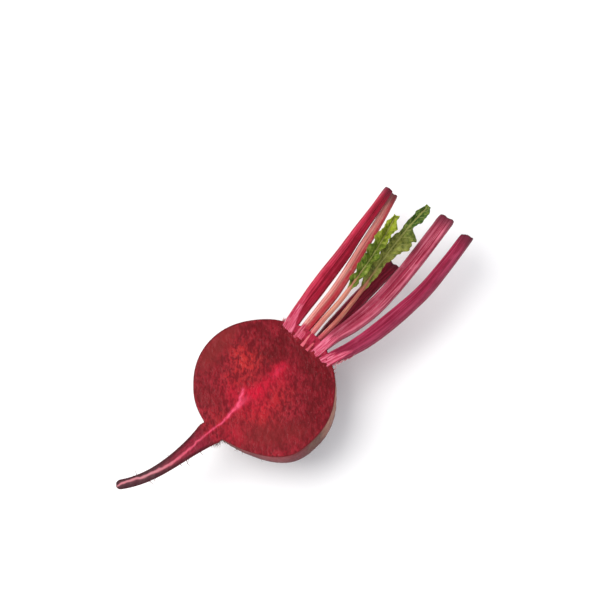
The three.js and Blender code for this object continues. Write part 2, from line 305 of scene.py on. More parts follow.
def flesh_finish():
    """Moist cut flesh: coarse crimson grains, a glowing core with a pink thread, and a darker rim."""
    s = Shader("beet_flesh", Roughness=0.4, Specular_IOR_Level=0.09, Subsurface_Weight=0.05,
               Subsurface_Scale=1.2 * MM, Subsurface_Radius=(1.0, 0.2, 0.2))
    place = s.position()
    strokes = s.stretch(s.turned(place, -44.0), (0.55, 0.95, 0.9))
    grain = s.noise(strokes, 0.74, 2.5, 0.58, 0.4)
    clots = s.noise(strokes, 0.3, 2.0, 0.5, 0.6)
    coarse = s.noise(place, 0.11, 3.0, 0.6)
    film = s.read("film")
    contrast = s.swing(grain, s.ramp(film, 0.0, 1.0, 1.0, 0.35))
    grains = s.plus(s.plus(contrast, 0.5), s.swing(clots, 0.6))
    s.colour = s.blend(s.ramp(grains, 0.3, 0.68), srgb(96, 10, 22), srgb(145, 29, 43))
    s.over(s.ramp(coarse, 0.35, 0.7, 0.0, 0.5), srgb(106, 12, 22))
    zones = s.plus(s.read("zone"), s.times(s.noise(place, 0.09, 2.0), 0.2))
    rings = s.maths("SINE", s.times(zones, 27.0))
    s.over(s.ramp(rings, 0.0, 1.0, 0.0, 0.22), srgb(88, 10, 20))
    s.over(s.read("ember"), srgb(176, 40, 40), s.ramp(grains, 0.36, 0.66, 0.1, 0.85))
    s.over(film, srgb(116, 36, 34), 0.6)
    s.over(s.read("shade"), srgb(88, 10, 16), s.ramp(grains, 0.3, 0.75, 0.95, 0.6))
    streak = s.noise(s.stretch(s.read("fibre", "Vector"), (0.3, 2.2, 1.0)), 1.0, 4.0, 0.6)
    s.over(s.read("core"), srgb(188, 14, 46), s.ramp(grains, 0.25, 0.62, 0.5, 1.0))
    s.over(s.read("thread"), srgb(228, 82, 116), s.ramp(streak, 0.3, 0.55, 0.35, 1.0))
    s.over(s.read("crown"), srgb(166, 36, 66), s.ramp(streak, 0.36, 0.62, 0.1, 1.0))
    # Painted highlight: the sparse pale-pink specks stand for wet glints on the moist flesh; the same specks
    # also raise small bumps.
    specks = s.ramp(s.cells(strokes, 0.8), 0.2, 0.06)
    painted_glints = s.times(specks, s.ramp(s.noise(place, 0.3, 2.0), 0.5, 0.64))
    s.over(painted_glints, srgb(200, 96, 98), 0.3)
    pits = s.ramp(s.cells(strokes, 0.5), 0.24, 0.05)
    s.over(pits, srgb(66, 4, 12), 0.35)
    inward = s.read("inward")
    edge = s.ramp(s.plus(inward, s.times(grain, 0.5)), 1.5, 0.5)
    s.over(edge, srgb(92, 20, 28), 0.8)
    root = s.times(s.read("root"), s.ramp(s.read("thread"), 0.1, 0.5, 1.0, 0.0))
    depth_in = s.plus(inward, s.swing(streak, 1.6))
    tipward = s.read("tipward")
    root_edge = s.blend(tipward, srgb(70, 10, 22), srgb(58, 26, 33))
    root_flesh = s.blend(tipward, srgb(124, 24, 44), srgb(78, 36, 45))
    root_flesh = s.blend(s.ramp(streak, 0.5, 0.36, 0.0, 0.7), root_flesh, root_edge)
    s.over(root, s.blend(s.ramp(depth_in, 0.7, 2.3), root_edge, root_flesh))
    faded = s.times(s.read("root"), s.read("thread"))
    s.over(faded, s.blend(tipward, srgb(188, 74, 98), srgb(172, 126, 131)))
    rind = s.ramp(s.plus(inward, s.times(coarse, 0.4)), 0.6, 0.25)
    s.over(rind, srgb(112, 60, 60), 0.8)
    normal = s.bumps(grains, 0.55, 0.6)
    normal = s.bumps(specks, 0.35, 0.3, normal)
    wet = s.ramp(clots, 0.3, 0.7, 0.55, 0.24)
    return s.finish(Roughness=wet, Normal=normal)


def skin_finish():
    """Thin dull maroon skin, paler under the cut edge, with corky specks, scuffs and neck rings."""
    s = Shader("beet_skin", Roughness=0.6, Specular_IOR_Level=0.15)
    place = s.position()
    broad = s.noise(place, 0.06, 4.0, 0.6)
    fine = s.noise(s.stretch(place, (1.6, 0.7, 0.7)), 0.5, 5.0, 0.65)
    s.colour = s.blend(s.ramp(broad, 0.35, 0.65), srgb(66, 22, 32), srgb(94, 42, 48))
    s.over(s.ramp(fine, 0.42, 0.72, 0.0, 0.5), srgb(114, 68, 66))
    s.over(s.ramp(fine, 0.5, 0.28, 0.0, 0.55), srgb(50, 16, 26))
    pale = s.times(s.read("under_rim"), s.ramp(broad, 0.3, 0.62, 0.35, 1.0))
    along = s.plus(s.read("crosswise"), s.swing(broad, 20.0))
    rim_tone = s.blend(s.ramp(along, -14.0, -3.0), srgb(138, 68, 72), srgb(112, 84, 72))
    rim_tone = s.blend(s.ramp(along, 2.0, 12.0), rim_tone, srgb(186, 138, 118))
    s.over(pale, rim_tone, 0.9)
    s.over(s.read("cork"), srgb(92, 58, 46), s.ramp(fine, 0.3, 0.62, 0.35, 1.0))
    dots = s.ramp(s.cells(place, 0.3), 0.15, 0.05)
    s.over(dots, srgb(52, 22, 28), 0.6)
    patches = s.ramp(s.noise(place, 0.18, 3.0, 0.7), 0.6, 0.72)
    s.over(patches, srgb(70, 34, 36), 0.5)
    scuffs = s.ramp(s.noise(s.stretch(place, (0.5, 2.2, 2.2)), 0.5, 3.0, 0.7), 0.66, 0.78)
    s.over(scuffs, srgb(146, 104, 98), 0.5)
    s.over(s.read("root"), srgb(66, 22, 30), s.ramp(fine, 0.3, 0.7, 0.85, 0.4))
    normal = s.bumps(fine, 0.35, 0.4)
    normal = s.bumps(dots, 0.3, 0.3, normal)
    return s.finish(Roughness=s.ramp(fine, 0.3, 0.7, 0.5, 0.74), Normal=normal)


def stalk_finish(name, spec):
    """Ribbed leaf stalk: body colour, painted highlight on the ribs, painted shade in the grooves and on one
    flank, and a pale fibrous cut foot, partly painted highlight.
    """
    s = Shader(name, Roughness=0.4, Specular_IOR_Level=0.16, Subsurface_Weight=0.05,
               Subsurface_Scale=1.0 * MM, Subsurface_Radius=(1.0, 0.2, 0.25))
    fibre = s.read("fibre", "Vector")
    place = s.position()
    streak = s.noise(s.stretch(fibre, (0.05, 1.5, 1.0)), 1.0, 4.0, 0.6)
    fine = s.noise(s.stretch(fibre, (0.22, 4.0, 1.0)), 1.0, 3.0, 0.6)
    blotch = s.noise(s.stretch(place, (0.6, 1.0, 1.0)), 0.16, 4.0, 0.65)
    s.colour = s.blend(s.ramp(streak, 0.36, 0.56), spec["dark"], spec["body"])
    ridge = s.times(s.read("ridge"), s.ramp(streak, 0.36, 0.58, 0.35, 1.0))
    s.over(ridge, spec["lit"], spec["ridge"])
    # Painted shade: the channel and the troughs between the ribs take the dark colour where shade falls.
    groove = s.times(s.read("groove"), s.ramp(streak, 0.62, 0.4, 0.4, 1.0))
    s.over(groove, spec["dark"], 0.8)
    lines = s.noise(s.stretch(fibre, (0.03, 2.6, 1.0)), 1.0, 2.0, 0.5)
    s.over(s.ramp(lines, 0.56, 0.66, 0.0, spec["ridge"]), spec["lit"])
    s.over(s.ramp(lines, 0.42, 0.34, 0.0, 0.7), spec["dark"])
    # Painted shade: the flank turned from the light takes a darker colour.
    shaded_flank = s.times(s.read("shaded_flank"), s.ramp(streak, 0.3, 0.7, 1.0, 0.75))
    s.over(shaded_flank, spec["shaded_flank"], spec["flank_shade_strength"])
    s.over(s.ramp(blotch, 0.46, 0.72, 0.0, 0.5), spec["dark"])
    s.over(s.ramp(blotch, 0.44, 0.3, 0.0, 0.25), spec["lit"])
    s.over(s.ramp(fine, 0.6, 0.74, 0.0, 0.35), spec["lit"])
    tip = s.ramp(s.plus(s.read("along"), s.times(fine, 0.05)), 0.93, 1.03, 0.0, 0.75)
    s.over(tip, srgb(86, 30, 46))
    end = s.read("end")
    s.over(end, srgb(72, 30, 38), s.ramp(fine, 0.3, 0.7, 0.6, 1.0))
    s.over(s.read("foot"), srgb(180, 44, 78), 0.4)
    sliced = s.read("sliced")
    s.over(sliced, srgb(176, 40, 74), s.ramp(fine, 0.3, 0.58, 0.5, 1.0))
    s.over(sliced, srgb(208, 96, 124), s.ramp(streak, 0.47, 0.6))
    # The palest streaks on the cut foot are partly paler fibres and partly a painted highlight of the wet
    # cut.
    s.over(sliced, srgb(224, 146, 164), s.ramp(fine, 0.52, 0.66, 0.0, 0.8))
    s.over(sliced, srgb(126, 10, 36), s.ramp(streak, 0.47, 0.34, 0.0, 0.85))
    s.over(s.read("heel"), srgb(120, 18, 32), s.ramp(fine, 0.3, 0.7, 1.0, 0.55))
    normal = s.bumps(streak, 0.4, 0.4)
    normal = s.bumps(fine, 0.4, 0.2, normal)
    return s.finish(Roughness=s.ramp(streak, 0.3, 0.7, 0.48, 0.3), Normal=normal)


def leaf_finish(name, spec):
    """Young leaf: pink foot of the stalk, pale midrib and veins, crinkled green blade."""
    s = Shader(name, Roughness=0.5, Specular_IOR_Level=0.12, Subsurface_Weight=0.08,
               Subsurface_Scale=0.8 * MM, Subsurface_Radius=(0.6, 1.0, 0.2))
    fibre = s.read("fibre", "Vector")
    place = s.position()
    streak = s.noise(s.stretch(fibre, (0.09, 2.4, 1.0)), 1.0, 4.0, 0.6)
    mottle = s.noise(place, 0.45, 4.0, 0.6)
    along = s.plus(s.read("along"), s.swing(streak, 0.1))
    stalk = s.blend(s.ramp(along, 0.02, 0.3), spec["foot"], spec["middle"])
    # Pale streaks on the leaf stalk: partly paler fibres and partly a painted highlight.
    stalk = s.blend(s.ramp(streak, 0.5, 0.68, 0.0, 0.6), stalk, srgb(226, 176, 150))
    stalk = s.blend(s.ramp(streak, 0.46, 0.34, 0.0, 0.6), stalk, srgb(150, 48, 56))
    green = s.blend(s.ramp(along, 0.72, 0.9), spec["blade"], spec["tip"])
    green = s.blend(s.ramp(mottle, 0.48, 0.68, 0.0, 0.5), green, srgb(156, 164, 76))
    green = s.blend(s.ramp(mottle, 0.5, 0.32, 0.0, 0.75), green, srgb(44, 68, 18))
    clumps = s.noise(place, 0.2, 2.0, 0.5)
    green = s.blend(s.ramp(clumps, 0.5, 0.36, 0.0, 0.5), green, srgb(66, 72, 22))
    green = s.blend(s.times(s.read("vein"), 0.6), green, srgb(160, 158, 92))
    s.colour = s.blend(s.read("green"), stalk, green)
    normal = s.bumps(mottle, 0.4, 0.3)
    normal = s.bumps(streak, 0.25, 0.2, normal)
    return s.finish(Roughness=s.ramp(mottle, 0.3, 0.7, 0.52, 0.36), Normal=normal)


# Bulb and root

def bulb_share(x, peak):
    reach = np.where(x > peak, BULB_TO_CROWN - peak, BULB_TO_ROOT + peak)
    return np.sqrt(np.maximum(0.0, 1 - ((x - peak) / reach) ** 2))


def crown_share(x):
    out = np.maximum(0.0, x - CROWN_X) / (CROWN_END_X - CROWN_X)
    return smooth((x - 8) / (CROWN_X - 8)) * np.sqrt(np.maximum(0.0, 1 - out * out))


def outward_share(x):
    return np.clip((NECK_X - x) / (NECK_X - ROOT_TIP_X), 0.0, 1.0)


def root_share(x):
    outward = np.maximum(0.0, NECK_X - x)
    taper = 1 - ROOT_TAPER * outward / (NECK_X - ROOT_TIP_X)
    inside = 1 - smooth((x - NECK_X) / 30)
    from_tip = np.clip((x - ROOT_TIP_X + 0.15) / TIP_ROUND, 0.0, 1.0)
    tip = np.sqrt(1 - (1 - from_tip) ** 2)
    return (ROOT_HALF_WIDTH + NECK_FLARE * np.exp(-outward / NECK_FADE)) * taper * inside * tip


def middle_y(x):
    to_root = smooth((-22 - x) / 16)
    bend = ROOT_LEAN * outward_share(x) + ROOT_SWEEP_Y * outward_share(x) ** ROOT_CURL
    return BULB_CENTRE_Y + (NECK_Y - BULB_CENTRE_Y) * to_root + bend


def middle_z(x):
    return CUT_HEIGHT - ROOT_DROOP * outward_share(x) ** 2


# The core as the cut shows it: x, y, half width, glow and brightness of the pink thread in it
CORE = np.array([
    [18.0, 2.2, 1.4, 0.35, 0.0], [14.5, 2.0, 1.9, 0.75, 0.05], [10.5, 1.8, 2.4, 0.9, 0.2],
    [5.0, 1.5, 2.3, 0.65, 0.0], [0.0, 1.3, 2.8, 0.7, 0.0], [-4.0, 1.4, 3.6, 0.9, 0.0],
    [-7.5, 3.0, 4.2, 0.9, 0.0], [-11.0, 3.6, 3.6, 0.85, 0.25], [-16.0, 3.5, 2.0, 0.7, 0.8],
    [-20.2, 3.4, 1.2, 0.55, 1.0], [-28.7, 3.3, 0.9, 0.45, 0.8], [-37.5, 4.9, 0.85, 0.4, 0.5],
    [-45.0, 5.0, 1.2, 0.4, 0.6], [-54.0, 5.8, 1.3, 0.3, 0.65], [-60.0, 6.8, 1.4, 0.3, 0.85],
    [-66.0, 8.7, 1.3, 0.3, 0.9], [-74.0, 12.0, 1.3, 0.3, 0.9], [-80.0, 15.6, 1.2, 0.2, 0.85],
    [-84.0, 18.0, 1.0, 0.2, 0.7],
])[::-1]
# A bright spur leaves the core to the far side: from x, y to x, y
SPUR = ((-16.5, 3.7), (-8.0, 7.6))

# Tones of the cut face: x, y, reach along x and y, strength
HALO_PATCHES = [(-9.0, -4.0, 8.0, 7.0, 0.42), (-13.0, 9.0, 5.0, 6.0, 0.5), (7.0, -1.0, 9.0, 6.0, 0.35),
                (-28.0, -5.0, 5.0, 6.0, 0.35)]
DARK_PATCHES = [(18.4, 10.7, 6.5, 7.5, 1.0), (11.5, 11.6, 4.0, 5.0, 0.6), (22.0, -4.8, 6.0, 6.0, 0.75),
                (15.0, -18.0, 9.0, 8.0, 0.7), (5.0, -28.0, 10.0, 6.0, 0.7), (26.0, -15.0, 6.0, 9.0, 0.85),
                (20.0, 24.0, 9.0, 7.0, 0.45), (27.0, 3.0, 3.0, 12.0, 0.7), (-24.0, 24.0, 6.0, 7.0, 0.35)]
EMBER_PATCHES = [(4.0, 15.0, 9.0, 8.0, 1.0), (6.0, 24.0, 6.0, 5.0, 0.6), (-10.0, -7.0, 10.0, 8.0, 0.75),
                 (-9.0, 15.0, 6.0, 6.0, 0.6), (4.0, -7.0, 6.0, 7.0, 0.5), (-26.0, 6.0, 6.0, 8.0, 0.3)]
FILM_PATCHES = [(5.0, 34.0, 10.0, 4.5, 1.0), (-10.0, 32.0, 9.0, 5.5, 0.9), (-16.0, -18.0, 9.0, 9.0, 0.8),
                (-4.0, -27.0, 9.0, 6.0, 0.7), (-26.0, -8.0, 6.0, 8.0, 0.5), (-24.0, 20.0, 6.0, 7.0, 0.5)]


def patches(x, y, spots):
    total = sum(spot[4] * bump_at(x, spot[0], spot[2]) * bump_at(y, spot[1], spot[3]) for spot in spots)
    return np.clip(total, 0, 1)


def core_tones(x, y):
    """Glow of the core and brightness of its pink thread at each point of the cut face."""
    middle, width, glow, light = (np.interp(x, CORE[:, 0], CORE[:, k]) for k in range(1, 5))
    inside = smooth((19 - x) / 4)
    off = (y - middle) / width
    glow = glow * inside * bump_at(off, 0.0, 1.35)
    thread = light * inside * bump_at(off, 0.0, 0.5)
    (x0, y0), (x1, y1) = SPUR
    share = np.clip(((x - x0) * (x1 - x0) + (y - y0) * (y1 - y0)) / ((x1 - x0) ** 2 + (y1 - y0) ** 2), 0, 1)
    away = np.hypot(x - mix(x0, x1, share), y - mix(y0, y1, share))
    spur = bump_at(away, 0.0, mix(0.6, 0.75, share))
    glow = np.maximum(glow, patches(x, y, HALO_PATCHES))
    return np.clip(glow, 0, 1), np.clip(np.maximum(thread, spur), 0, 1)


def body_rings(x, turn, v):
    """Smooth rings at each x, how far each point lies inside the rim, and the half widths.

    A ring goes round the skin by turn, from the far rim under to the near rim, and back over the
    cut face by v, from -1 at the near rim to 1 at the far rim.
    """
    bulb, crown, root = bulb_share(x, 0.0), crown_share(x), root_share(x)
    half_width = rounded_or(BULB_HALF_WIDTH * bulb, CROWN_HALF_WIDTH * crown, root)
    depth = rounded_or(BULB_DEPTH * bulb_share(x, BELLY_X), CROWN_DEPTH * crown, ROOT_DEPTH * root)
    out = outward_share(x)
    lean = ROOT_LEAN * smooth(out / 0.2) + ROOT_CURL * ROOT_SWEEP_Y * out ** (ROOT_CURL - 1)
    slope = lean / (NECK_X - ROOT_TIP_X)
    scars = SCAR_HEIGHT * crown * np.cos(2 * math.pi * (x - CROWN_X) / SCAR_PITCH)
    cheek = 1 + CHEEK_SHARE * bump_at(x, CHEEK_X, 9.0)

    def placed(sideways, down):
        """Points off the middle line, sideways at a right angle to its lean, and down."""
        level = sideways / np.sqrt(1 + slope ** 2)
        return stacked(x + slope * level, middle_y(x) + level, middle_z(x) - down)

    low = np.sin(turn)
    near = turn > math.pi / 2
    bulge = np.where(near, SIDE_BULGE, FAR_BULGE) * bulb * np.sin(math.pi * low)
    lobes = 1 + low * (0.012 * bulb * np.sin(5 * turn + 0.09 * x) + scars)
    sideways = half_width * np.cos(turn) * lobes * np.where(near, cheek, 1.0) - bulge
    reach = half_width * np.where(v < 0, cheek, 1.0)
    rings = np.concatenate([placed(sideways, depth * low * lobes), placed(reach * v, 0.0)], axis=1)
    inward = np.concatenate([np.zeros((len(x), len(turn))), reach * (1 - np.abs(v))], axis=1)
    return rings, np.minimum(inward, np.abs(x - ROOT_TIP_X)), half_width


def body_piece():
    """The half bulb with its crown and tap root: rings of skin points closed by a fine cut face."""
    tip_rows, root_rows, bulb_rows = 14, 100, 240
    arc, across = 88, 160
    x = np.concatenate([
        ROOT_TIP_X + TIP_ROUND * np.linspace(0, 1, tip_rows, endpoint=False) ** 2,
        np.linspace(ROOT_TIP_X + TIP_ROUND, NECK_X, root_rows, endpoint=False),
        NECK_X + (CROWN_END_X - 0.05 - NECK_X) * (1 - np.cos(np.linspace(0, math.pi, bulb_rows))) / 2,
    ])[:, None]
    turn = np.linspace(0, math.pi, arc + 1)
    low = np.sin(turn)
    v = -np.cos(np.linspace(0, math.pi, across + 1))[1:-1]
    grid, inward, half_width = body_rings(x, turn, v)
    rows, columns = len(x), arc + across
    on_face = np.arange(columns) > arc

    bed = lumps(grid, 9.0, 1)
    fine = lumps(grid, 2.4, 2)
    grit = lumps(grid, 0.9, 3)
    girth = np.minimum(1.0, half_width / 20)

    # Relief of the skin: soft lumps, fine wrinkles, rings round the neck and root
    rings = np.sin(x * 3.1 + 1.7 * np.sin(x * 0.9)) * bump_at(x, -40.0, 16.0)
    lift = 0.24 * girth * (bed - 0.9) + 0.09 * (fine - 0.5) * (0.4 + 0.6 * girth) + 0.05 * (rings - 1)
    lift = lift[:, :arc + 1] * smooth(low * 8)
    grid[:, :arc + 1, 1] += lift * np.cos(turn)
    grid[:, :arc + 1, 2] -= lift * low

    # Relief of the cut: long knife waves, a grainy surface, and an edge that rounds down to the skin
    cut_lift = (0.10 * bed + 0.10 * fine + 0.08 * grit) * smooth(inward / 1.5)
    grid[:, :, 2] += on_face * (cut_lift - EDGE_DROP * np.exp(-inward / 0.35))
    grid[:, [0, arc], 2] -= EDGE_DROP
    grid[:, :, 2] = np.maximum(grid[:, :, 2], 0.0)

    px, py = grid[:, :, 0], grid[:, :, 1]
    glow, thread = core_tones(px + 0.8 * bed, py + 0.7 * fine)
    blurred = (px + 3.0 * bed + 1.2 * fine, py + 2.4 * np.roll(bed, 40, axis=0) - 1.2 * fine)
    under_rim = np.concatenate([smooth(1 - low / 0.45), np.zeros(across - 1)])
    values = {
        "inward": inward, "core": glow, "thread": thread, "crosswise": px,
        "zone": np.hypot((px - 1) / 36, (py - BULB_CENTRE_Y) / 38),
        "shade": patches(*blurred, DARK_PATCHES),
        "ember": patches(*blurred, EMBER_PATCHES),
        "film": patches(*blurred, FILM_PATCHES),
        "crown": smooth((px - 30.5 - 1.5 * fine) / 3),
        "cork": np.clip(smooth((px - 22) / 9) + 0.6 * bump_at(px, -34.0, 5.0), 0, 1),
        "under_rim": np.broadcast_to(under_rim, px.shape),
        "root": smooth((NECK_X + 2 - px) / 10),
        "tipward": smooth((NECK_X - 10 - px) / 26),
        "fibre": stacked(px, py - middle_y(px), 0.0),
    }

    count = rows * columns
    faces = tube_faces(rows, columns)
    faces += fan_faces(0, columns, count, flip=True) + fan_faces(count - columns, columns, count + 1)
    flesh_slots = np.tile(np.arange(columns) >= arc, rows - 1)
    slots = np.concatenate([flesh_slots, np.zeros(2 * columns)])
    points = grid.reshape(-1, 3)
    points = np.vstack([points, points[:columns].mean(axis=0), points[-columns:].mean(axis=0)])

    def with_ends(value):
        """An attribute's value at every point of the rings and at the two end points."""
        flat = value.reshape(count, -1)
        return np.vstack([flat, flat[0], flat[-1]]).squeeze()

    attributes = {key: with_ends(value) for key, value in values.items()}
    finishes = [skin_finish(), flesh_finish()]
    piece = mesh_piece("beet_half", points, faces, finishes, attributes, slots, sharp=75)
    return wear(piece, "beet", "root_half")


# Leaf stalks

class Path:
    """A smooth curve through given points (centripetal Catmull-Rom), read evenly by its length."""

    steps_between = 60

    def __init__(self, points):
        ends = np.array(points, float)
        ends = np.vstack([2 * ends[0] - ends[1], ends, 2 * ends[-1] - ends[-2]])
        spans = np.sqrt(np.linalg.norm(np.diff(ends, axis=0), axis=1))
        t = np.linspace(0, 1, self.steps_between, endpoint=False)[:, None]
        pieces = []
        for i in range(1, len(ends) - 2):
            p0, p1, p2, p3 = ends[i - 1:i + 3]
            d0, d1, d2 = spans[i - 1:i + 2]
            start = ((p1 - p0) / d0 - (p2 - p0) / (d0 + d1) + (p2 - p1) / d1) * d1
            stop = ((p2 - p1) / d1 - (p3 - p1) / (d1 + d2) + (p3 - p2) / d2) * d1
            bend = (-3 * p1 + 3 * p2 - 2 * start - stop) * t ** 2 + (2 * p1 - 2 * p2 + start + stop) * t ** 3
            pieces.append(p1 + start * t + bend)
        self.line = np.vstack(pieces + [ends[-2][None, :]])
        gaps = np.linalg.norm(np.diff(self.line, axis=0), axis=1)
        self.length_at = np.concatenate([[0.0], np.cumsum(gaps)])
        self.length = self.length_at[-1]

    def at(self, t):
        wanted = np.asarray(t) * self.length
        return stacked(*(np.interp(wanted, self.length_at, self.line[:, k]) for k in range(3)))

    def axes(self, t):
        """Forward, sideways (level) and upward directions at t."""
        step = 0.01
        forward = self.at(np.minimum(1.0, t + step)) - self.at(np.maximum(0.0, t - step))
        forward /= np.linalg.norm(forward, axis=-1, keepdims=True)
        side = stacked(-forward[..., 1], forward[..., 0], 0.0)
        side /= np.linalg.norm(side, axis=-1, keepdims=True)
        return forward, side, np.cross(forward, side)


def half_size(sizes, t):
    """A stalk swells from its base to the full size a third of the way along, then thins to its tip."""
    base, middle, tip = sizes
    swelling = mix(base, middle, smooth(t / FULL_AT))
    return np.where(t < FULL_AT, swelling, mix(middle, tip, smooth((t - FULL_AT) / (1 - FULL_AT))))


# name: path, half sizes at base, middle and tip, where the channel faces, and the finish. The paths
# and sizes are the part's own. The channel angle is in degrees from straight up towards +Y, and
# flank_side is 1 where the +Y flank takes the painted shade and -1 where the -Y one does.
# A flank_from below FLANK_FROM spreads that painted shade over more of the foot.
FLANK_FROM = 0.1
STALKS = {
    "stalk_far": dict(
        path=[(27.5, 13.3, 33.4), (36, 15.4, 32.6), (47, 17.6, 31.1), (65.6, 20.7, 29.9), (80.3, 22.9, 29.6),
              (94, 25.4, 30.0), (110, 27.9, 30.8), (124, 30.3, 31.2)],
        width=(3.4, 4.2, 2.5), depth=(3.1, 3.5, 2.6), channel=-38, ridge=0.5,
        body=srgb(186, 24, 58), lit=srgb(204, 66, 94), dark=srgb(128, 8, 32),
        shaded_flank=srgb(122, 8, 32), flank_side=-1, flank_shade_strength=0.7),
    "stalk_far_inner": dict(
        path=[(28, 6.95, 33.2), (36, 7.95, 32.3), (48, 9.6, 30.2), (62.7, 11.8, 28.3), (77, 15.0, 27.4),
              (92.4, 19.0, 27.0), (108.7, 22.9, 26.6), (125.5, 28.0, 25.4)],
        width=(2.5, 2.9, 2.3), depth=(2.6, 2.6, 2.2), channel=-20, ridge=0.5,
        body=srgb(208, 130, 120), lit=srgb(232, 186, 172), dark=srgb(190, 84, 88),
        shaded_flank=srgb(160, 14, 40), flank_side=-1, flank_from=-0.55, flank_shade_strength=1.0),
    "stalk_near": dict(
        path=[(28, -4.9, 33.4), (36, -5.3, 32.8), (45, -5.8, 31.8), (57, -7.7, 30.5), (72, -8.8, 29.9),
              (90, -8.0, 30.0), (111, -5.8, 30.6), (133, -2.9, 31.6)],
        width=(2.45, 4.45, 4.4), depth=(2.7, 3.4, 3.2), channel=6, ridge=0.6,
        body=srgb(172, 50, 80), lit=srgb(214, 124, 144), dark=srgb(124, 18, 44),
        shaded_flank=srgb(110, 26, 46), flank_side=1, flank_shade_strength=0.6),
    "stalk_near_outer": dict(
        path=[(27.5, -10.8, 33.4), (36, -13.2, 32.4), (45, -15.8, 31.1), (57, -18.2, 29.7), (75, -20.0, 28.6),
              (95, -21.0, 28.6), (113, -19.7, 29.4), (133.5, -17.2, 30.6)],
        width=(3.2, 4.4, 3.4), depth=(3.0, 3.4, 3.0), channel=24, ridge=0.45,
        body=srgb(156, 30, 68), lit=srgb(186, 78, 108), dark=srgb(112, 12, 42),
        shaded_flank=srgb(118, 44, 68), flank_side=-1, flank_shade_strength=0.4),
    "stalk_back": dict(
        path=[(27, -1.2, 24.6), (38, -0.6, 22.8), (52, 0.8, 20.8), (70, 2.2, 18.8), (86, 2.8, 17.6),
              (100, 2.4, 17.0)],
        width=(3.6, 4.2, 3.8), depth=(2.9, 3.3, 3.0), channel=0, ridge=0.4,
        body=srgb(124, 14, 42), lit=srgb(160, 52, 76), dark=srgb(84, 6, 24),
        shaded_flank=srgb(84, 6, 24), flank_side=1, flank_shade_strength=0.4),
}


